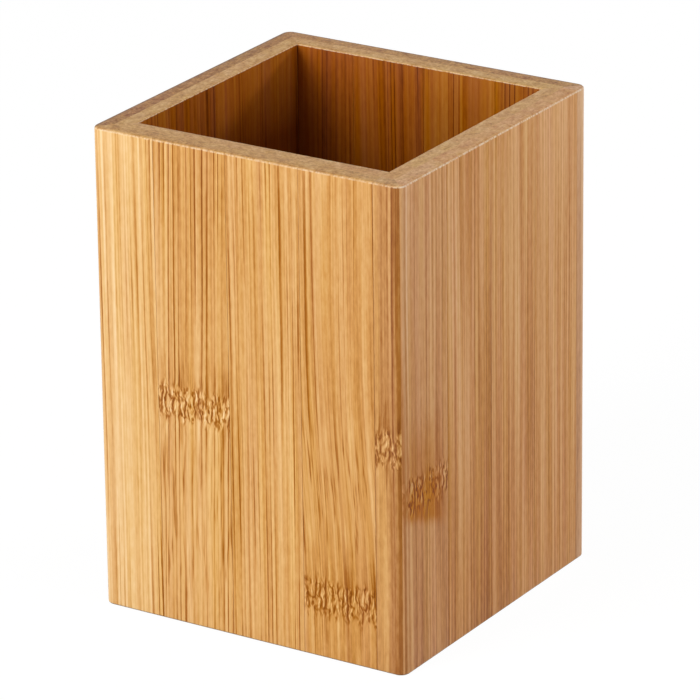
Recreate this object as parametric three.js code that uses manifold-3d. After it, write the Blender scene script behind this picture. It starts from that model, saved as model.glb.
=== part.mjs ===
// Bamboo pencil cup: a square cup, open at the top, of four mitred walls around a base board.
// Every board is two plies of edge-glued bamboo strips, and every strip is a piece of its own.
// Millimetres, +Z up. The origin is the middle of the underside, the front wall faces -Y and
// the right wall +X.

import * as THREE from "three";
import { mergeVertices } from "three/addons/utils/BufferGeometryUtils.js";
import Module from "manifold-3d";

// Overall sizes
const cupWidth = 70; // across the outside faces, the same both ways
const cupHeight = 100;

// Board stock
const stripWidth = 16.5; // seam to seam
const plyThickness = 3.25; // one layer of strips
const glueLine = 0.1; // between any two pieces that are glued together
const mitreFlat = 0.3; // least width left behind the mitre on the narrowest end strip

// Finished edges
const cornerRadius = 2; // upright outside corners
const edgeEase = 0.5; // outside edges of rim and foot
const wellEase = 0.3; // inside edge of the rim
const trimAllowance = 0.4; // what a strip stands proud before it is cut to the finished cup

// Smoothness of the rounded edges
const cornerSteps = 8;
const easeSteps = 4;

// The walls, anticlockwise from above. A seam is the place of the first seam of a ply, from the
// wall's left-hand corner as seen from outside
const walls = [
  { name: "front", turn: 0, outerSeam: 14.3, innerSeam: 19 },
  { name: "right", turn: 90, outerSeam: 16.5, innerSeam: 11 },
  { name: "back", turn: 180, outerSeam: 9.8, innerSeam: 17.2 },
  { name: "left", turn: 270, outerSeam: 12.1, innerSeam: 19.8 },
];

// The base board's plies. A seam is the place of the first seam from the board's front edge
const basePlies = [
  { name: "lower", seam: 6.9 },
  { name: "upper", seam: 15.2 },
];

// Bamboo of slightly different culms: strips side by side differ in tone
const outsideTones = [0xe0ae6a, 0xd39c58, 0xd9a461, 0xcf9754];
const insideTones = [0xa45c1e, 0xad6523, 0x9b5519];
const baseTones = [0xcb9856, 0xd3a15f];
const bambooRoughness = 0.5;

// Sizes that follow from those above
const halfWidth = cupWidth / 2;
const boardThickness = 2 * plyThickness + glueLine;
const baseHalf = halfWidth - plyThickness - glueLine;
const wellHalf = halfWidth - boardThickness;
const mitreGap = glueLine * Math.SQRT1_2; // half a glue line, measured along the wall
const narrowestStrip = plyThickness + trimAllowance + mitreFlat;

const wasm = await Module();
wasm.setup();

// A closed solid from a geometry, without the faces that shrink to a line on a lathe's axis
function solidFrom(geometry) {
  geometry.deleteAttribute("normal");
  geometry.deleteAttribute("uv");
  const merged = mergeVertices(geometry);
  const corners = merged.index.array;
  const faces = [];
  for (let i = 0; i < corners.length; i += 3) {
    const face = Array.from(corners.slice(i, i + 3));
    if (new Set(face).size === 3) faces.push(...face);
  }
  return new wasm.Manifold(new wasm.Mesh({
    numProp: 3,
    vertProperties: new Float32Array(merged.attributes.position.array),
    triVerts: new Uint32Array(faces),
  }));
}

function geometryFrom(solid) {
  const mesh = solid.getMesh();
  const geometry = new THREE.BufferGeometry();
  geometry.setAttribute("position", new THREE.BufferAttribute(mesh.vertProperties, 3));
  geometry.setIndex(new THREE.BufferAttribute(mesh.triVerts, 1));
  geometry.computeVertexNormals();
  return geometry;
}

// The outside of the finished cup: a square block with rounded upright corners, eased at rim and foot
function finishedOutside() {
  const flat = halfWidth - cornerRadius;
  const outline = new THREE.Shape();
  outline.absarc(flat, flat, cornerRadius, 0, Math.PI / 2);
  outline.absarc(-flat, flat, cornerRadius, Math.PI / 2, Math.PI);
  outline.absarc(-flat, -flat, cornerRadius, Math.PI, 1.5 * Math.PI);
  outline.absarc(flat, -flat, cornerRadius, 1.5 * Math.PI, 2 * Math.PI);
  const block = new THREE.ExtrudeGeometry(outline, {
    depth: cupHeight - 2 * edgeEase,
    curveSegments: cornerSteps,
    bevelThickness: edgeEase,
    bevelSize: edgeEase,
    bevelOffset: -edgeEase,
    bevelSegments: easeSteps,
  });
  return block.translate(0, 0, edgeEase);
}

// The well between the walls: a lathe of four sides has a square section, whose corners lie
// further out than its flats. Its mouth widens over the eased edge of the rim
function finishedWell() {
  const profile = new THREE.Path();
  const top = cupHeight + trimAllowance;
  profile.moveTo(0, -trimAllowance);
  profile.lineTo(wellHalf, -trimAllowance);
  profile.lineTo(wellHalf, cupHeight - wellEase);
  profile.absarc(wellHalf + wellEase, cupHeight - wellEase, wellEase, Math.PI, Math.PI / 2, true);
  profile.lineTo(wellHalf + wellEase, top);
  profile.lineTo(0, top);
  const flats = profile.getPoints(easeSteps);
  const corners = flats.map((point) => new THREE.Vector2(point.x * Math.SQRT2, point.y));
  return new THREE.LatheGeometry(corners, 4, Math.PI / 4).rotateX(Math.PI / 2);
}

const finishedWalls = solidFrom(finishedOutside()).subtract(solidFrom(finishedWell()));

// Edges of the strips across a ply from start to end, with a seam every strip's width from the
// first one on. The last strip is never too narrow to carry its mitre
function stripEdges(start, end, firstSeam) {
  const edges = [start];
  for (let seam = firstSeam; seam < end; seam += stripWidth) {
    edges.push(Math.min(seam, end - narrowestStrip));
  }
  edges.push(end);
  return edges;
}

function bamboo(tones, index) {
  return new THREE.MeshStandardMaterial({
    color: tones[index % tones.length],
    roughness: bambooRoughness,
    metalness: 0,
  });
}

function namedMesh(name, geometry, material) {
  const mesh = new THREE.Mesh(geometry, material);
  mesh.name = name;
  return mesh;
}

// Plan of a wall strip between two depths. The sides that meet the next wall lie on the corner's
// diagonal, and the others on a seam
function stripPlan(left, right, outside, inside, isFirst, isLast) {
  const leftAt = (depth) => (isFirst ? depth + mitreGap : left + glueLine / 2);
  const rightAt = (depth) => (isLast ? -depth - mitreGap : right - glueLine / 2);
  return new THREE.Shape([
    new THREE.Vector2(leftAt(outside), outside),
    new THREE.Vector2(rightAt(outside), outside),
    new THREE.Vector2(rightAt(inside), inside),
    new THREE.Vector2(leftAt(inside), inside),
  ]);
}

// One ply of a wall, as it stands at the front of the cup. Each strip is a blank with its seams and
// mitres cut, trimmed to the finished walls
function wallPly(ply) {
  const edges = stripEdges(-ply.halfLength, ply.halfLength, ply.firstSeam - halfWidth);
  const last = edges.length - 2;
  const strips = [];
  for (let i = 0; i <= last; i += 1) {
    const plan = stripPlan(edges[i], edges[i + 1], ply.outside, ply.inside, i === 0, i === last);
    const blank = new THREE.ExtrudeGeometry(plan, {
      depth: cupHeight + trimAllowance - ply.bottom,
      bevelEnabled: false,
    });
    blank.translate(0, 0, ply.bottom);
    const trimmed = geometryFrom(solidFrom(blank).intersect(finishedWalls));
    strips.push(namedMesh(`${ply.name}_strip_${i + 1}`, trimmed, bamboo(ply.tones, i)));
  }
  return strips;
}

// A wall: the outer ply runs from foot to rim, and the inner ply stands on the base board, which
// so lies in a rebate one ply deep
function wallBoard(wall) {
  const outerPly = {
    name: `${wall.name}_outer`,
    tones: outsideTones,
    firstSeam: wall.outerSeam,
    halfLength: halfWidth,
    outside: -halfWidth - trimAllowance,
    inside: -halfWidth + plyThickness,
    bottom: -trimAllowance,
  };
  const innerPly = {
    name: `${wall.name}_inner`,
    tones: insideTones,
    firstSeam: wall.innerSeam,
    halfLength: baseHalf,
    outside: -baseHalf,
    inside: -wellHalf + trimAllowance,
    bottom: boardThickness + glueLine,
  };
  const board = new THREE.Group();
  board.add(...wallPly(outerPly), ...wallPly(innerPly));
  board.rotation.z = THREE.MathUtils.degToRad(wall.turn);
  return board;
}

// The base board: two plies of strips from left to right, flush with the foot of the walls
function baseBoard() {
  const board = new THREE.Group();
  basePlies.forEach((ply, layer) => {
    const edges = stripEdges(-baseHalf, baseHalf, ply.seam - baseHalf);
    const last = edges.length - 2;
    for (let i = 0; i <= last; i += 1) {
      const front = i === 0 ? edges[i] : edges[i] + glueLine / 2;
      const back = i === last ? edges[i + 1] : edges[i + 1] - glueLine / 2;
      const bar = new THREE.BoxGeometry(2 * baseHalf, back - front, plyThickness);
      const strip = namedMesh(`base_${ply.name}_strip_${i + 1}`, bar, bamboo(baseTones, i + layer));
      strip.position.y = (front + back) / 2;
      strip.position.z = plyThickness / 2 + layer * (plyThickness + glueLine);
      board.add(strip);
    }
  });
  return board;
}

const pencilCup = new THREE.Group();
pencilCup.add(...walls.map(wallBoard), baseBoard());

export default pencilCup;
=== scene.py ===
# Bamboo pencil cup: the finished strips of its five boards, in metres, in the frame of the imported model.
# Each strip is made by one Geometry Nodes tree and carries its own place in the grain, which the
# bamboo material reads.
import math
import random

import bpy
from mathutils import Euler, Matrix, Vector


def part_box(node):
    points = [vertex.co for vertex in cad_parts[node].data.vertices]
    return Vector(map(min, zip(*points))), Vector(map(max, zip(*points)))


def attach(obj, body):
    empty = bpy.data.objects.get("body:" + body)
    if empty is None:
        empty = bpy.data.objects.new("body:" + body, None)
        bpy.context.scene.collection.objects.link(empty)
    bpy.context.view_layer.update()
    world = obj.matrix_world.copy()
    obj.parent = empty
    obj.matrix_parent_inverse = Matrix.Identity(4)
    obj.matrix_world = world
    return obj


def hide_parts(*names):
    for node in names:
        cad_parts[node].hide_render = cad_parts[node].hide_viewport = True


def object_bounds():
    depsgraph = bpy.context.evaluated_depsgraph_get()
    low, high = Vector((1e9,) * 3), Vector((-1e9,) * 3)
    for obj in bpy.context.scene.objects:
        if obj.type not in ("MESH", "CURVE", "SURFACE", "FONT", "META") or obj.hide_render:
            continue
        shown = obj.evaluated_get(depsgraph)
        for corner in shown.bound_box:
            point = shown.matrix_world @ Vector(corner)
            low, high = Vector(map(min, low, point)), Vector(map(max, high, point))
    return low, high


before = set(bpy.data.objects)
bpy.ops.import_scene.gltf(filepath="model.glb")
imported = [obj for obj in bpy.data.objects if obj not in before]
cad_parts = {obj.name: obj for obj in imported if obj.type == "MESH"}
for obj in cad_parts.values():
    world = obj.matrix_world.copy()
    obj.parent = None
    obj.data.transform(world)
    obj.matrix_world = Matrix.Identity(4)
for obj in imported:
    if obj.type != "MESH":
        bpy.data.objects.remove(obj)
cad_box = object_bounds()

# Finished edges
MM = 0.001
CORNER_RADIUS = 2 * MM  # upright outside corners
EDGE_EASE = 0.5 * MM  # outside edges of rim and foot
WELL_EASE = 0.3 * MM  # inside edge of the rim
ARRIS = 0.06 * MM  # a sawn edge with its sharpness just taken off
GLUE_LINE = 0.1 * MM  # left between the CAD strips
OPEN_SEAM = 0.05 * MM  # what still shows of a glue line after pressing and sanding
MITRE_SEAM = 0.002 * MM  # the same at the mitres, which are pulled tight

# Mesh of a strip: vertices across the width, through the thickness and along the length
COLUMNS, LAYERS, ROWS = 25, 3, 21
CORNER_SHARE = 8 / (COLUMNS - 1)  # of the width's steps, for each rounded side
EASE_SHARE = 4 / (ROWS - 1)  # of the length's steps, for each eased end
SHARP_ANGLE = math.radians(30)
QUARTER_TURN = math.pi / 2

# How the walls stand: degrees about the upright axis, anticlockwise from above
WALL_TURN = {"front": 0, "right": 90, "back": 180, "left": 270}

# Camera, fitted to the photograph's outline of the cup
CAMERA_AZIMUTH, CAMERA_ELEVATION, CAMERA_ROLL = 32.37, 21.18, -0.7  # degrees
CAMERA_DISTANCE = 1.0595
CAMERA_LENS = 276.1  # millimetres, on Blender's 36 mm sensor
CAMERA_AIM = Vector((1.3 * MM, 0, 49.34 * MM))

# Studio
LAMP_DISTANCE = 1.3
WORLD_LIGHT = 0.2  # on the cup; seen directly, the world is white
FLOOR_HALF = 2.0
FLOOR_LEVEL = -0.02 * MM  # just below the underside, so that the two don't lie in one plane
FLOOR_GREY = 0.35  # as it throws light back at the cup
FLOOR_SEEN_GREY = 0.90
FLOOR_WHITENESS = 0.94  # share of plain white where the floor is seen directly; the rest keeps the shadow
FLOOR_WHITE = 1.03  # strength of that white, which makes up for the shaded rest


# Values in node trees

class Field:
    """One value in a node tree, which can be reckoned with as a number is."""

    def __init__(self, socket):
        self.socket = socket
        self.tree = socket.id_data

    def maths(self, operation, *others, swapped=False):
        node = self.tree.nodes.new("ShaderNodeMath")
        node.operation = operation
        values = (self, *others)
        for socket, value in zip(node.inputs, reversed(values) if swapped else values):
            feed(socket, value)
        return Field(node.outputs[0])

    def __add__(self, other):
        return self.maths("ADD", other)

    def __sub__(self, other):
        return self.maths("SUBTRACT", other)

    def __rsub__(self, other):
        return self.maths("SUBTRACT", other, swapped=True)

    def __mul__(self, other):
        return self.maths("MULTIPLY", other)

    def __truediv__(self, other):
        return self.maths("DIVIDE", other)

    def __abs__(self):
        return self.maths("ABSOLUTE")

    __radd__ = __add__
    __rmul__ = __mul__

    def sine(self):
        return self.maths("SINE")

    def cosine(self):
        return self.maths("COSINE")

    def above(self, limit):
        """1 above the limit, else 0."""
        return self.maths("GREATER_THAN", limit)

    def at_least(self, limit):
        return self.maths("MAXIMUM", limit)

    def at_most(self, limit):
        return self.maths("MINIMUM", limit)

    def clamped(self):
        return self.at_least(0.0).at_most(1.0)

    def towards(self, other, share):
        return self + (other - self) * share

    def eased(self, low, high):
        """0 below low, 1 above high, and a soft step between them."""
        node = self.tree.nodes.new("ShaderNodeMapRange")
        node.interpolation_type = "SMOOTHSTEP"
        feed(node.inputs["Value"], self)
        feed(node.inputs["From Min"], low)
        feed(node.inputs["From Max"], high)
        return Field(node.outputs["Result"])


def feed(socket, value):
    """Links a socket to a field, or sets it to a plain value."""
    if isinstance(value, Field):
        socket.id_data.links.new(value.socket, socket)
    else:
        socket.default_value = value


def made(tree, kind, settings=(), **inputs):
    """A new node with its settings, and its inputs fed by name (spaces as underscores)."""
    node = tree.nodes.new(kind)
    for key, value in dict(settings).items():
        setattr(node, key, value)
    for key, value in inputs.items():
        feed(node.inputs[key.replace("_", " ")], value)
    return node


def vector(tree, x, y, z):
    return Field(made(tree, "ShaderNodeCombineXYZ", X=x, Y=y, Z=z).outputs[0])


def parts(field):
    node = made(field.tree, "ShaderNodeSeparateXYZ", Vector=field)
    return [Field(socket) for socket in node.outputs]


# The strip tree

NO_KNOT = -500.0  # a height that no strip reaches
FALL_LENGTH, CANT_WIDTH = 100.0, 16.0  # millimetres over which a strip's fall and cant are given

# The look of a plain strip. Each row is one vector input of the tree. Heights are millimetres above the foot
PLAIN_LOOK = {
    # Paler as a whole, towards the top by its fall, and towards the right by its cant
    "Tone": dict(tone=0.0, fall=0.0, cant=0.0),
    "Tint": dict(pinkness=0.0, dullness=0.0, stain=0.0),
    # Strength of the fibre lines, which are pale where it is negative, their slope, and how soon they change
    "Lines": dict(veins=0.25, lean=0.0, come_and_go=0.014),
    "Streaks": dict(fine=0.34, bundle=0.14, broad=0.12),
    "Knot": dict(knot=NO_KNOT, knot_weight=0.9, knot_tone=0.0),
    # Height of a figured stretch, how far it reaches, and how the fibres lean in it
    "Figure": dict(figure=NO_KNOT, figure_reach=20.0, figure_lean=0.0),
    # Tone of the end grain, the painted highlight on the rim's eased edges, and the painted shade on its far
    # edges
    "Ends": dict(end_tone=0.0, painted_highlight=0.0, painted_shade=0.0),
}
SIZE_INPUTS = (
    "Left", "Right", "Face", "Thickness", "Foot", "Top",
    "Left corner", "Right corner", "Left lean", "Right lean", "Foot ease", "Top ease",
)
STRIP_INPUTS = {
    **dict.fromkeys(SIZE_INPUTS, "Float"), "Turn": "Vector", "Seed": "Float",
    **dict.fromkeys(PLAIN_LOOK, "Vector"), "Material": "Material",
}


def strip_spot(size, place):
    """Where a point of the unit cube lies on the strip. The cube's X runs across the exposed face,
    its Y from that face to the glued back and its Z along the strip."""
    width_run, through, length_run = (part + 0.5 for part in parts(place))

    # The eased ends: an end's turn is 0 on the flat and a quarter turn at the end face
    foot_turn = (1 - (length_run / EASE_SHARE).clamped()) * QUARTER_TURN
    top_turn = (1 - ((1 - length_run) / EASE_SHARE).clamped()) * QUARTER_TURN
    inset = size["Foot ease"] * (1 - foot_turn.cosine()) + size["Top ease"] * (1 - top_turn.cosine())
    low = size["Foot"] + size["Foot ease"] * (1 - foot_turn.sine())
    high = size["Top"] - size["Top ease"] * (1 - top_turn.sine())
    z = low.towards(high, ((length_run - EASE_SHARE) / (1 - 2 * EASE_SHARE)).clamped())

    # The rounded sides: a mitred side turns by half a corner, a seam by a whole one
    sides = {}
    for side, run, sign in (("Left", width_run, 1), ("Right", 1 - width_run, -1)):
        lean = size[side + " lean"]
        sweep = (1 - abs(lean) * 0.5) * QUARTER_TURN
        turn = (1 - (run / CORNER_SHARE).clamped()) * sweep
        radius = size[side + " corner"] - lean.at_least(0.0) * inset
        edge = size[side] + lean * inset * sign
        sides[side] = {
            "x": edge + radius * (1 - turn.sine()) * sign,
            "end": edge + radius * (1 - sweep.sine()) * sign,
            "drop": radius * (1 - turn.cosine()),
            "back": size[side] + lean * size["Thickness"] * sign,
        }
    left, right = sides["Left"], sides["Right"]
    middle = ((width_run - CORNER_SHARE) / (1 - 2 * CORNER_SHARE)).clamped()
    x = left["x"].towards(right["x"], middle)
    y = size["Face"] + inset + left["drop"] + right["drop"]
    across = (x - left["end"]) / (right["end"] - left["end"])
    back_x = left["back"].towards(right["back"], across)
    back_y = size["Face"] + size["Thickness"]
    return {
        "x": x.towards(back_x, through), "y": y.towards(back_y, through), "z": z,
        "across": across, "through": through, "along": (z - size["Foot"]) / (size["Top"] - size["Foot"]),
        "end": (foot_turn + top_turn).sine(),
    }


# The sides of a strip on its bake map: the axis and the way a side looks, then what runs across the map and
# what along it, each with its room from edge to edge. They are face, back, left, right, top and foot
BAKE_SIDES = (
    ("y", -1, ("across", 0.01, 0.69), ("along", 0.01, 0.87)),
    ("y", 1, ("across", 0.71, 0.78), ("along", 0.01, 0.87)),
    ("x", -1, ("through", 0.80, 0.88), ("along", 0.01, 0.87)),
    ("x", 1, ("through", 0.90, 0.98), ("along", 0.01, 0.87)),
    ("z", 1, ("across", 0.01, 0.98), ("through", 0.885, 0.945)),
    ("z", -1, ("across", 0.01, 0.98), ("through", 0.955, 0.99)),
)


def bake_place(tree, spot):
    """A flat map of the strip with most of its room for the exposed face."""
    normal = Field(made(tree, "GeometryNodeInputNormal").outputs[0])
    settings = {"data_type": "FLOAT_VECTOR", "domain": "FACE"}
    face_normal = made(tree, "GeometryNodeFieldOnDomain", settings, Value=normal)
    looks = dict(zip("xyz", parts(Field(face_normal.outputs[0]))))
    u = v = 0.0
    for axis, way, (u_run, u_low, u_high), (v_run, v_low, v_high) in BAKE_SIDES:
        on_side = (looks[axis] * way).above(0.5)
        u = on_side * (u_low + spot[u_run] * (u_high - u_low)) + u
        v = on_side * (v_low + spot[v_run] * (v_high - v_low)) + v
    return vector(tree, u, v, 0.0)


def passed(tree, geometry, kind, settings=(), **inputs):
    """The geometry after one more node."""
    node = made(tree, kind, settings, **inputs)
    tree.links.new(geometry, node.inputs["Geometry"])
    return node.outputs[0]


def stored(tree, geometry, name, kind, domain, value):
    """The geometry with one more attribute."""
    settings = {"data_type": kind, "domain": domain}
    return passed(tree, geometry, "GeometryNodeStoreNamedAttribute", settings, Name=name, Value=value)


def make_strip_tree():
    tree = bpy.data.node_groups.new("bamboo strip", "GeometryNodeTree")
    for name, kind in STRIP_INPUTS.items():
        tree.interface.new_socket(name=name, in_out="INPUT", socket_type="NodeSocket" + kind)
    tree.interface.new_socket(name="Strip", in_out="OUTPUT", socket_type="NodeSocketGeometry")
    given = tree.nodes.new("NodeGroupInput")
    size = {name: Field(given.outputs[name]) for name in STRIP_INPUTS}
    cube = made(tree, "GeometryNodeMeshCube", Vertices_X=COLUMNS, Vertices_Y=LAYERS, Vertices_Z=ROWS)
    cube.inputs["Size"].default_value = (1, 1, 1)
    spot = strip_spot(size, Field(made(tree, "GeometryNodeInputPosition").outputs[0]))

    # What the bamboo reads, the place in the grain in millimetres
    strip = cube.outputs["Mesh"]
    strip = stored(tree, strip, "OFBake", "FLOAT2", "CORNER", bake_place(tree, spot))
    grain = vector(tree, (spot["x"] - size["Left"]) / MM, (spot["y"] - size["Face"]) / MM, spot["z"] / MM)
    strip = stored(tree, strip, "grain", "FLOAT_VECTOR", "POINT", grain)
    strip = stored(tree, strip, "end_grain", "FLOAT", "POINT", spot["end"])
    strip = stored(tree, strip, "strip_seed", "FLOAT", "POINT", size["Seed"])
    for row in PLAIN_LOOK:
        strip = stored(tree, strip, "strip_" + row.lower(), "FLOAT_VECTOR", "POINT", size[row])

    place = vector(tree, spot["x"], spot["y"], spot["z"])
    strip = passed(tree, strip, "GeometryNodeSetPosition", Position=place)
    strip = passed(tree, strip, "GeometryNodeTransform", Rotation=size["Turn"])
    strip = passed(tree, strip, "GeometryNodeSetShadeSmooth", {"domain": "FACE"})
    bend = Field(made(tree, "GeometryNodeInputMeshEdgeAngle").outputs["Unsigned Angle"])
    strip = passed(
        tree, strip, "GeometryNodeSetShadeSmooth", {"domain": "EDGE"},
        Selection=bend.above(SHARP_ANGLE), Shade_Smooth=False,
    )
    strip = passed(tree, strip, "GeometryNodeRealizeInstances")
    strip = passed(tree, strip, "GeometryNodeSetMaterial", Material=size["Material"])
    out = tree.nodes.new("NodeGroupOutput")
    tree.links.new(strip, out.inputs["Strip"])
    return tree


strip_tree = make_strip_tree()
strip_sockets = {
    item.name: item.identifier for item in strip_tree.interface.items_tree if item.in_out == "INPUT"
}


def make_strip(name, sizes, look, material):
    """One finished strip that stands for the CAD node of the same name."""
    mesh = bpy.data.meshes.new(name + "_start")
    piece = bpy.data.objects.new(name + "_finished", mesh)
    bpy.context.scene.collection.objects.link(piece)
    modifier = piece.modifiers.new("strip", "NODES")
    modifier.node_group = strip_tree
    for key, value in {**sizes, **look, "Material": material}.items():
        modifier[strip_sockets[key]] = value
    shaped = piece.evaluated_get(bpy.context.evaluated_depsgraph_get())
    finished = bpy.data.meshes.new_from_object(shaped)
    piece.modifiers.remove(modifier)
    piece.data = finished
    finished.name = name + "_finished"
    bpy.data.meshes.remove(mesh)
    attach(piece, "root")
    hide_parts(name)


# The bamboo

def colour(red, green, blue):
    """A screen colour (0 to 255) as the linear colour that a shader takes."""
    shares = [value / 255 for value in (red, green, blue)]
    return [s / 12.92 if s <= 0.04045 else ((s + 0.055) / 1.055) ** 2.4 for s in shares] + [1.0]


# Colours from the darkest tone to the palest
OUTSIDE_GRAIN = (
    (0.00, colour(126, 62, 4)),
    (0.25, colour(170, 104, 33)),
    (0.50, colour(214, 155, 86)),
    (0.72, colour(236, 189, 124)),
    (1.00, colour(250, 216, 164)),
)
# Inside: darker and redder than the outside, partly deeper wood and partly painted shade of the well
INSIDE_GRAIN_AND_SHADE = (
    (0.00, colour(77, 30, 4)),
    (0.25, colour(123, 58, 9)),
    (0.50, colour(158, 84, 20)),
    (0.72, colour(173, 102, 29)),
    (1.00, colour(192, 126, 49)),
)
END_GRAIN = (
    (0.0, colour(148, 92, 42)),
    (0.5, colour(210, 157, 93)),
    (1.0, colour(242, 202, 142)),
)
STAIN = colour(227, 192, 104)  # what passes through stained wood
# Painted highlight: the pale colour put on the rim's eased edges where a lamp would glint
PAINTED_EDGE_HIGHLIGHT = colour(248, 224, 186)
# Painted shade: the dark colour put on the rim's far outer edges and along the foot
PAINTED_EDGE_SHADE = colour(78, 58, 42)
SHINE = 0.1  # a thin satin lacquer
PORE_DEPTH = 0.05 * MM
HALF_HEIGHT = cad_box[1][2] / 2 / MM  # millimetres; an end above this is on the rim

# Where each pattern starts in the noise, so that no two are alike
PATTERN_START = {
    "drift": 1.3, "ragged edge": 3.7, "bow": 4.2,
    "line spacing": 11.0, "line strength": 12.0, "fine": 13.0, "bundle": 14.0, "broad": 15.0,
    "dash": 16.0, "fleck": 17.0, "tint": 18.0,
    "knot warp": 21.0, "flame": 22.0, "fibre ends": 23.0, "gap": 24.0,
    "speckle": 31.0, "blotch": 32.0, "highlight break": 33.0,
}


def attribute(tree, name, output="Vector"):
    node = made(tree, "ShaderNodeAttribute", {"attribute_name": name})
    return Field(node.outputs[output])


def ramp(value, stops):
    """A colour for each value, blended between stops."""
    node = made(value.tree, "ShaderNodeValToRGB", Fac=value)
    elements = node.color_ramp.elements
    while len(elements) < len(stops):
        elements.new(0.5)
    for element, (position, shade) in zip(elements, stops):
        element.position = position
        element.color = shade
    return Field(node.outputs["Color"])


def mixed(share, first, second, blend="MIX"):
    """Two colours mixed. The node's inputs share their names, so they are found by place."""
    node = share.tree.nodes.new("ShaderNodeMix")
    node.data_type = "RGBA"
    node.blend_type = blend
    feed(node.inputs[0], share)
    feed(node.inputs[6], first)
    feed(node.inputs[7], second)
    return Field(node.outputs[2])


class Grain:
    """The point that is shaded: its place in the grain, in millimetres, and the look of its strip."""

    def __init__(self, tree):
        self.tree = tree
        self.across, self.depth, self.along = parts(attribute(tree, "grain"))
        self.seed = attribute(tree, "strip_seed", "Fac")
        self.end = attribute(tree, "end_grain", "Fac")  # 0 on the long faces and 1 on the end faces
        self.look = {}
        for row, names in PLAIN_LOOK.items():
            self.look.update(zip(names, parts(attribute(tree, "strip_" + row.lower()))))
        self.rise = self.along - self.look["knot"]  # above the strip's knot
        self.bent = self.across + self.bending()  # across the grain as the fibres run
        self.fine = self.noise("fine", self.bent * 1.45, self.depth, self.along * 0.012, roughness=0.6)
        self.flames = self.noise("flame", self.bent * 1.4, self.depth, self.along * 0.04, 2.0, 0.6)

    def noise(self, pattern, x, y, z, detail=1.0, roughness=0.5):
        """Soft noise around 0, about -1 to 1, at a place in waves: millimetres times waves to each."""
        node = made(
            self.tree, "ShaderNodeTexNoise", {"noise_dimensions": "4D"},
            Vector=vector(self.tree, x, y, z), W=self.seed + PATTERN_START[pattern],
            Scale=1.0, Detail=detail, Roughness=roughness,
        )
        return (Field(node.outputs[0]) - 0.5) * 2.0

    def bending(self):
        """How the fibres stray: they drift, lean, and bend round a knot or a figured stretch."""
        across, depth, along, look = self.across, self.depth, self.along, self.look
        drift = self.noise("drift", across * 0.10, depth * 0.1, along * 0.011, 2.0) * 0.7
        reach = look["figure_reach"]
        swing = ((along - look["figure"]) / reach).maths("TANH") * reach * look["figure_lean"]
        near_knot = (1 - abs(self.rise).eased(2.0, 9.0)) * look["knot_weight"]
        bow = self.noise("bow", across * 0.6, depth, along * 0.35, 2.0) * near_knot * 0.35
        return drift + along * look["lean"] + swing + bow


def fibre_tone(grain):
    """Thin dark lines that come and go, finer streaks between them, and broader bundles."""
    bent, depth, along, look = grain.bent, grain.depth, grain.along, grain.look
    phase = bent * 0.8 + grain.noise("line spacing", bent * 0.35, depth * 0.3, along * 0.004) * 1.4
    line = (phase * (2 * math.pi)).sine().eased(0.45, 1.0)
    coming = grain.noise("line strength", bent * 0.30, depth * 0.3, along * look["come_and_go"])
    bundle = grain.noise("bundle", bent * 0.45, depth * 0.3, along * 0.008)
    broad = grain.noise("broad", grain.across * 0.12, depth * 0.1, along * 0.012)
    fleck = grain.noise("fleck", bent * 1.6, depth * 2.0, along * 0.40, 2.0, 0.6) * 0.15
    streaks = grain.fine * look["fine"] + bundle * look["bundle"] + broad * look["broad"]
    veins = line * coming.eased(-0.30, 0.35) * look["veins"]
    lines = streaks + fleck - veins + abs(look["veins"]) * 0.2

    # A figured stretch, where the plane cut slowly across the fibres, shows short dashes instead
    figured = 1 - (abs(along - look["figure"]) / look["figure_reach"]).eased(0.4, 1.1)
    dash = grain.noise("dash", bent * 1.5, depth, along * 0.07, 2.0, 0.6)
    dashes = dash.eased(0.0, 0.45) * -0.42 + (dash * -1).eased(0.1, 0.5) * 0.18 + 0.08
    slope = (along / FALL_LENGTH - 0.5) * look["fall"] + grain.across / CANT_WIDTH * look["cant"]
    return 0.5 + look["tone"] + slope + lines.towards(lines * 0.55 + dashes, figured)


def knot_smear(grain):
    """Streaks that darken towards a knot from above and fade out below it."""
    above, below = grain.rise, grain.rise * -1
    over = (1 - above.eased(2.0, 13.0)) * above.eased(-2.0, 2.0)
    under = (1 - below.eased(2.0, 12.0)) * below.eased(-2.0, 2.0)
    flames = grain.flames
    smear = over * flames.eased(-0.15, 0.40) * 0.35 + under * (flames.eased(-0.1, 0.35) * 0.34 - 0.11)
    return smear * grain.look["knot_weight"] * (1 - grain.look["stain"])


def knot_band(grain):
    """1 in the strip's knot, whose edges are ragged."""
    across, depth, along = grain.across, grain.depth, grain.along
    ragged = grain.rise + grain.noise("ragged edge", across * 1.05, depth * 0.5, along * 0.08) * 3.2
    return (1 - abs(ragged).eased(2.2, 4.4)) * grain.look["knot_weight"]


def knot_marks(grain):
    """Fibre ends in a knot, which stand up as small teeth: outlined in brown, with a painted highlight on one
    side and painted shade on the other.
    """
    across, along = grain.across, grain.along
    warp = grain.noise("knot warp", across * 0.50, 0.0, along * 0.40) * 0.6
    # Two samples of the teeth, offset to either side; their difference paints light on one side of each tooth
    # and shade on the other
    heights = []
    for side in (-1, 1):
        x = (across + 0.13 * side) * 1.3 + warp
        z = (along - 0.10 * side) * 0.36 + warp * 0.35
        heights.append(grain.noise("fibre ends", x, 0.0, z, 2.0))
    low, high = heights
    outline = 1 - abs(low + high).eased(0.02, 0.30)
    dots = made(
        grain.tree, "ShaderNodeTexVoronoi", {"voronoi_dimensions": "2D"},
        Vector=vector(grain.tree, across * 0.8 + grain.seed, along * 0.5, 0.0), Scale=1.0,
    )
    dot_here = 1 - parts(Field(dots.outputs["Color"]))[0].eased(0.22, 0.24)
    dot = (1 - Field(dots.outputs["Distance"]).eased(0.14, 0.30)) * dot_here
    # high - low is the painted light and painted shade of the teeth, as if lit from one side
    marks = (0.60 + (high - low) * 1.2 - outline * 0.35 - dot * 0.42).at_least(0.08)
    return marks + grain.look["knot_tone"]


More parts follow.
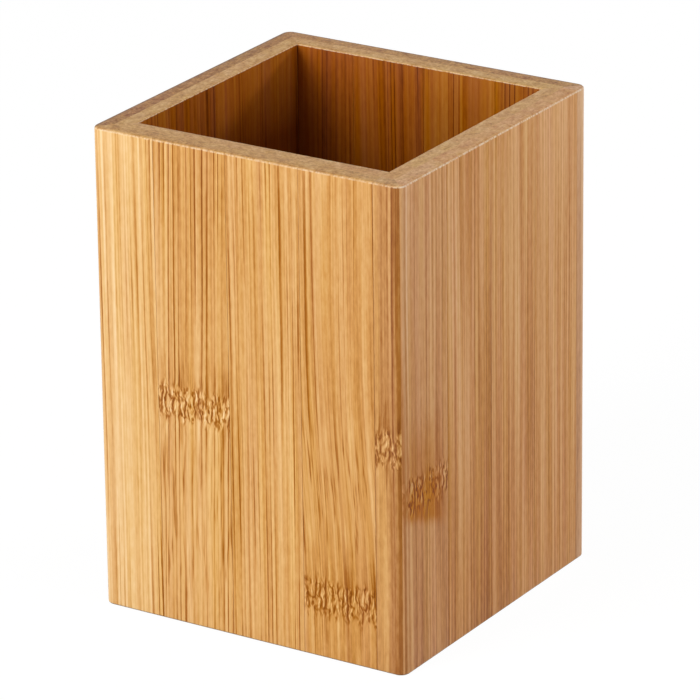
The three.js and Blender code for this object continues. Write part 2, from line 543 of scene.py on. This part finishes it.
def stain_share(grain):
    """The stain around a knot, which fades upwards and ends below it on a slant."""
    across, rise, flames = grain.across, grain.rise, grain.flames
    slant = rise + (across - 8.0) * 0.34 + flames * 1.2
    fading = (rise + flames * 3.0).eased(-1.0, 5.0) + (rise + flames * 5.0).eased(6.0, 18.0)
    sides = (0.4 + across.eased(0.5, 3.0) * 0.6) * (1 - across.eased(11.0, 18.0))
    return slant.eased(-8.4, -5.0) * (1 - fading * 0.5) * sides * grain.look["stain"]


def end_colour(grain):
    """Fibre bundles cut across, which show as speckle in blotches."""
    across, depth, along = grain.across, grain.depth, grain.along
    blotch = grain.noise("blotch", across * 0.45, depth * 0.7, along * 0.05)
    speckle = grain.noise("speckle", across * 1.7, depth * 1.9, along * 0.05, 3.0, 0.7)
    return ramp(0.5 + grain.look["end_tone"] + speckle * 0.75 + blotch * 0.42, END_GRAIN)


def edges_with_painted_light(grain, wood, end_share):
    """The wood with its eased edges, where light is painted: a ragged painted highlight along rim edges that
    face a lamp, painted shade along the rim's far outer edges, and painted contact shade along the foot."""
    end, along, look = grain.end, grain.along, grain.look
    on_rim = along.above(HALF_HEIGHT)
    highlight_breaks = grain.noise("highlight break", grain.across * 1.9, 0.0, 0.0, 2.0, 0.6).eased(-0.3, 0.25)
    round_edge = end.eased(0.03, 0.15) * (1 - end.eased(0.55, 0.85))
    # Painted highlight: pale, ragged colour along the rim's eased edges, in place of a glint
    wood = mixed(round_edge * on_rim * highlight_breaks * look["painted_highlight"], wood, PAINTED_EDGE_HIGHLIGHT)
    # Painted shade: dark colour along the rim's far outer edges, and painted contact shade along the foot
    outer_edge = end_share * (1 - grain.depth.eased(0.4, 1.0))
    foot_contact_shade = (1 - along.eased(0.4, 1.2)) * 0.7
    return mixed(outer_edge * (on_rim * look["painted_shade"]).at_least(foot_contact_shade), wood, PAINTED_EDGE_SHADE)


def tinted(grain, wood, wood_tone, stained):
    """The wood of yellower, pinker or duller culms and fibres. A stain is deepest in its dark marks."""
    pinkness, dullness = grain.look["pinkness"], grain.look["dullness"]
    tint = grain.noise("tint", grain.bent * 0.55, grain.depth * 0.5, grain.along * 0.016)
    pink = pinkness * wood_tone.clamped() * (1 - stained * 0.75)
    hue = 0.5 - pink * 0.06 + tint * (0.005 + pinkness * 0.018)
    deepening = stained * (0.15 - wood_tone * 0.25)
    saturation = 1.0 - dullness * (1 - stained) + deepening + pink * 0.06 + tint * 0.06
    node = made(grain.tree, "ShaderNodeHueSaturation", Hue=hue, Saturation=saturation, Color=wood)
    return Field(node.outputs[0])


def make_bamboo(name, long_grain):
    material = bpy.data.materials.new(name)
    material.use_nodes = True
    tree = material.node_tree
    grain = Grain(tree)

    # Long faces, with gaps in the knot where it is stained
    band = knot_band(grain)
    stained = stain_share(grain)
    gaps = grain.noise("gap", grain.across * 0.30, 0.0, grain.along * 0.1).eased(0.05, 0.35)
    knot_share = band * (1 - gaps * grain.look["stain"])
    wood_tone = (fibre_tone(grain) - knot_smear(grain)).towards(knot_marks(grain), knot_share)
    long_colour = mixed(stained, ramp(wood_tone, long_grain), STAIN, "MULTIPLY")

    # End faces, and the edges between with their painted highlight and painted shade
    end_share = grain.end.eased(0.2, 0.6)
    wood = mixed(end_share, long_colour, end_colour(grain))
    wood = edges_with_painted_light(grain, wood, end_share)

    shader = tree.nodes["Principled BSDF"]
    feed(shader.inputs["Base Color"], tinted(grain, wood, wood_tone, stained))
    feed(shader.inputs["Specular IOR Level"], SHINE)
    feed(shader.inputs["Roughness"], 0.34 + grain.fine * 0.05 + band * 0.10 + end_share * 0.06)
    bump = made(tree, "ShaderNodeBump", Strength=0.3, Distance=PORE_DEPTH, Height=wood_tone)
    feed(shader.inputs["Normal"], Field(bump.outputs[0]))
    return material


# Looks of the strips

# What the photograph shows of single strips. The right wall's wood is pinker, in soft broad streaks with fine
# pale lines
SOFT_STREAKS = dict(pinkness=0.28, veins=-0.19, fall=0.14, fine=0.37, bundle=0.28, broad=0.3)
SEEN_LOOKS = {
    "front_outer_strip_1": dict(seed=77.4, tone=0.105, veins=0.42, come_and_go=0.024, fine=0.52),
    "front_outer_strip_2": dict(
        seed=126.8, tone=-0.005, fall=-0.06, veins=0.44, lean=-0.02, come_and_go=0.02,
        knot=46.6, knot_weight=1.0, figure=22.0,
    ),
    "front_outer_strip_3": dict(
        seed=28.0, veins=0.42, come_and_go=0.024, fine=0.40, bundle=0.09, broad=0.06,
    ),
    "front_outer_strip_4": dict(
        seed=281.5, tone=-0.065, fall=0.03, veins=0.27, bundle=0.11,
        knot=12.8, knot_weight=0.75, knot_tone=-0.17, figure=36.0, figure_reach=18.0, figure_lean=0.08,
    ),
    "front_outer_strip_5": dict(
        seed=305.7, tone=-0.11, cant=-0.22, dullness=0.05, veins=0.20,
        knot=46.6, knot_weight=0.78, knot_tone=-0.13,
    ),
    "right_outer_strip_1": dict(
        SOFT_STREAKS, seed=55.3, tone=-0.05, dullness=0.04, bundle=0.2, broad=0.16,
        knot=36.6, knot_weight=1.0, knot_tone=-0.03, stain=1.0,
    ),
    "right_outer_strip_2": dict(SOFT_STREAKS, seed=199.6, tone=-0.095, fall=0.09),
    "right_outer_strip_3": dict(SOFT_STREAKS, seed=360.8, tone=-0.02, fall=0.08),
    "right_outer_strip_4": dict(SOFT_STREAKS, seed=106.0, tone=0.02, fine=0.44, bundle=0.19, broad=0.10),
    "right_outer_strip_5": dict(SOFT_STREAKS, seed=160.7, tone=0.08, fall=0.24, dullness=0.14),
    "left_outer_strip_5": dict(tone=0.10),
    "back_inner_strip_1": dict(seed=108.2, tone=-0.03, pinkness=-0.12, veins=0.45, lean=-0.007, fine=0.42),
    "back_inner_strip_2": dict(seed=280.7, tone=0.06, pinkness=-0.05, veins=0.43, lean=-0.006, fine=0.42),
    "back_inner_strip_3": dict(seed=190.7, tone=-0.05, veins=0.33, lean=0.013, fine=0.42),
    "left_inner_strip_1": dict(seed=235.7, tone=0.06, veins=0.39, lean=-0.015),
    "left_inner_strip_2": dict(seed=180.7, tone=0.08, pinkness=0.06, veins=0.26, lean=-0.011),
    "left_inner_strip_3": dict(seed=95.7, tone=-0.06, veins=0.36, lean=0.008),
}

# End grain of the plies on the rim, darker or paler than the rest, and the painted highlight and painted
# shade on their eased edges
RIM_LOOKS = {
    "front_outer": dict(end_tone=0.0, painted_highlight=0.5),
    "front_inner": dict(end_tone=0.06),
    "right_outer": dict(end_tone=0.16, painted_highlight=1.0),
    "right_inner": dict(end_tone=0.12),
    "back_outer": dict(end_tone=-0.16, painted_shade=0.6),
    "back_inner": dict(end_tone=0.10, painted_highlight=0.5),
    "left_outer": dict(end_tone=-0.28, painted_shade=0.65),
    "left_inner": dict(end_tone=0.10, painted_highlight=0.6),
}


def any_look(name):
    """The look of a strip that the photograph hides, the same on every run."""
    draw = random.Random(name + "_wood")
    knot = draw.uniform(12, 92) if draw.random() < 0.35 else NO_KNOT
    return dict(
        tone=draw.uniform(-0.06, 0.10), pinkness=draw.uniform(-0.05, 0.15), veins=draw.uniform(0.2, 0.4),
        lean=draw.uniform(-0.015, 0.015), knot=knot, figure=knot - 24.0,
    )


def strip_look(name, ply):
    """The tree's inputs for the look of a strip, which is plain where nothing else is said."""
    said = {"seed": random.Random(name + "_seed").uniform(0, 400)}
    said.update(SEEN_LOOKS.get(name) or any_look(name))
    said.update(RIM_LOOKS.get(ply, {}))
    look = {"Seed": said["seed"]}
    for row, plain in PLAIN_LOOK.items():
        look[row] = tuple(said.get(key, value) for key, value in plain.items())
    return look


# The strips of each board

def strip_names(ply):
    """The CAD strips of a ply, in the order in which they lie."""
    names = [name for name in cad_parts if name.startswith(ply + "_strip_")]
    return sorted(names, key=lambda name: int(name.rsplit("_", 1)[1]))


def turned_box(name, turn):
    """A CAD strip's box in the frame of a board that was turned to its place."""
    back = turn.to_matrix().inverted()
    corners = [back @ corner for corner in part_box(name)]
    low = Vector(map(min, *corners))
    high = Vector(map(max, *corners))
    return low, high


def side_sizes(low, high, corner, is_first, is_last, outside):
    """The two sides of a wall strip: mitred at the wall's corners and square at a seam."""
    lean = 1.0 if outside else -1.0
    radius = CORNER_RADIUS if outside else ARRIS
    closed = (GLUE_LINE - OPEN_SEAM) / 2
    mitre_gap = MITRE_SEAM * math.sqrt(0.5)
    return {
        "Left": -corner + mitre_gap if is_first else low - closed,
        "Right": corner - mitre_gap if is_last else high + closed,
        "Left corner": radius if is_first else ARRIS,
        "Right corner": radius if is_last else ARRIS,
        "Left lean": lean if is_first else 0.0,
        "Right lean": lean if is_last else 0.0,
    }


def make_ply(ply, turn, outside, material, eases, mitred=True):
    """The strips of one ply. The exposed face looks along -Y before the ply is turned to its place."""
    names = strip_names(ply)
    if not outside:
        names = names[::-1]
    for index, name in enumerate(names):
        low, high = turned_box(name, turn)
        first = mitred and index == 0
        last = mitred and index == len(names) - 1
        sizes = {
            **side_sizes(low.x, high.x, abs(low.y), first, last, outside),
            "Face": low.y, "Thickness": high.y - low.y + GLUE_LINE - OPEN_SEAM,
            "Foot": low.z, "Top": high.z, "Foot ease": eases[0], "Top ease": eases[1], "Turn": turn,
        }
        make_strip(name, sizes, strip_look(name, ply), material)


outside_bamboo = make_bamboo("bamboo_outside", OUTSIDE_GRAIN)
inside_bamboo = make_bamboo("bamboo_inside", INSIDE_GRAIN_AND_SHADE)
base_bamboo = make_bamboo("bamboo_base", OUTSIDE_GRAIN)

for wall, degrees in WALL_TURN.items():
    outward = Euler((0, 0, math.radians(degrees)))
    inward = Euler((0, 0, math.radians(degrees + 180)))
    make_ply(wall + "_outer", outward, True, outside_bamboo, (EDGE_EASE, EDGE_EASE))
    make_ply(wall + "_inner", inward, False, inside_bamboo, (ARRIS, WELL_EASE))

# The base board's plies lie face down and face up, with their strips from left to right
face_down = Euler((QUARTER_TURN, 0, QUARTER_TURN))
face_up = Euler((-QUARTER_TURN, 0, -QUARTER_TURN))
make_ply("base_lower", face_down, True, base_bamboo, (ARRIS, ARRIS), mitred=False)
make_ply("base_upper", face_up, False, base_bamboo, (ARRIS, ARRIS), mitred=False)


# Studio: white floor, soft lamps and camera

def direction(azimuth, elevation):
    """From the cup towards a lamp or the camera. Azimuth 0 is straight in front, in degrees."""
    a, e = math.radians(azimuth), math.radians(elevation)
    return Vector((math.sin(a) * math.cos(e), -math.cos(a) * math.cos(e), math.sin(e)))


def soft_lamp(name, azimuth, elevation, width, height, watts):
    light = bpy.data.lights.new(name, "AREA")
    light.shape = "RECTANGLE"
    light.size, light.size_y = width, height
    light.energy = watts
    lamp = bpy.data.objects.new(name, light)
    bpy.context.scene.collection.objects.link(lamp)
    away = direction(azimuth, elevation)
    lamp.location = CAMERA_AIM + away * LAMP_DISTANCE
    lamp.rotation_euler = away.to_track_quat("Z", "Y").to_euler()


def seen_directly(tree):
    """1 for what the camera sees straight, in a mirror or through glass."""
    path = tree.nodes.new("ShaderNodeLightPath")
    rays = ("Is Camera Ray", "Is Glossy Ray", "Is Transmission Ray")
    camera, glossy, through = (Field(path.outputs[ray]) for ray in rays)
    return camera.at_least(glossy).at_least(through)


def make_floor():
    signs = ((-1, -1), (1, -1), (1, 1), (-1, 1))
    corners = [(x * FLOOR_HALF, y * FLOOR_HALF, FLOOR_LEVEL) for x, y in signs]
    mesh = bpy.data.meshes.new("floor")
    mesh.from_pydata(corners, [], [(0, 1, 2, 3)])
    floor = bpy.data.objects.new("floor", mesh)
    bpy.context.scene.collection.objects.link(floor)
    material = bpy.data.materials.new("white_floor")
    material.use_nodes = True
    tree = material.node_tree
    tree.nodes.clear()
    direct = seen_directly(tree)
    grey = FLOOR_GREY + direct * (FLOOR_SEEN_GREY - FLOOR_GREY)
    matt = made(tree, "ShaderNodeBsdfDiffuse", Color=vector(tree, grey, grey, grey))
    white = made(tree, "ShaderNodeEmission", Strength=FLOOR_WHITE)
    both = tree.nodes.new("ShaderNodeMixShader")
    feed(both.inputs[0], direct * FLOOR_WHITENESS)
    tree.links.new(matt.outputs[0], both.inputs[1])
    tree.links.new(white.outputs[0], both.inputs[2])
    out = tree.nodes.new("ShaderNodeOutputMaterial")
    tree.links.new(both.outputs[0], out.inputs["Surface"])
    mesh.materials.append(material)


def make_world():
    world = bpy.data.worlds.new("studio")
    world.use_nodes = True
    tree = world.node_tree
    background = tree.nodes["Background"]
    background.inputs["Color"].default_value = (1, 1, 1, 1)
    direct = seen_directly(tree)
    feed(background.inputs["Strength"], WORLD_LIGHT + direct * (1.0 - WORLD_LIGHT))
    bpy.context.scene.world = world


def make_camera():
    data = bpy.data.cameras.new("camera")
    data.lens = CAMERA_LENS
    data.clip_start, data.clip_end = 0.05, 20.0
    camera = bpy.data.objects.new("camera", data)
    bpy.context.scene.collection.objects.link(camera)
    away = direction(CAMERA_AZIMUTH, CAMERA_ELEVATION)
    level = away.to_track_quat("Z", "Y").to_matrix().to_4x4()
    roll = Matrix.Rotation(math.radians(CAMERA_ROLL), 4, "Z")
    camera.matrix_world = Matrix.Translation(CAMERA_AIM + away * CAMERA_DISTANCE) @ level @ roll
    bpy.context.scene.camera = camera


make_floor()
make_world()
soft_lamp("front_lamp", azimuth=-20, elevation=22, width=0.6, height=0.86, watts=15.6)
soft_lamp("side_lamp", azimuth=85, elevation=10, width=0.5, height=0.4, watts=5.1)
soft_lamp("back_lamp", azimuth=150, elevation=20, width=0.4, height=0.2, watts=5.0)
make_camera()
bpy.context.scene.view_settings.view_transform = "Standard"
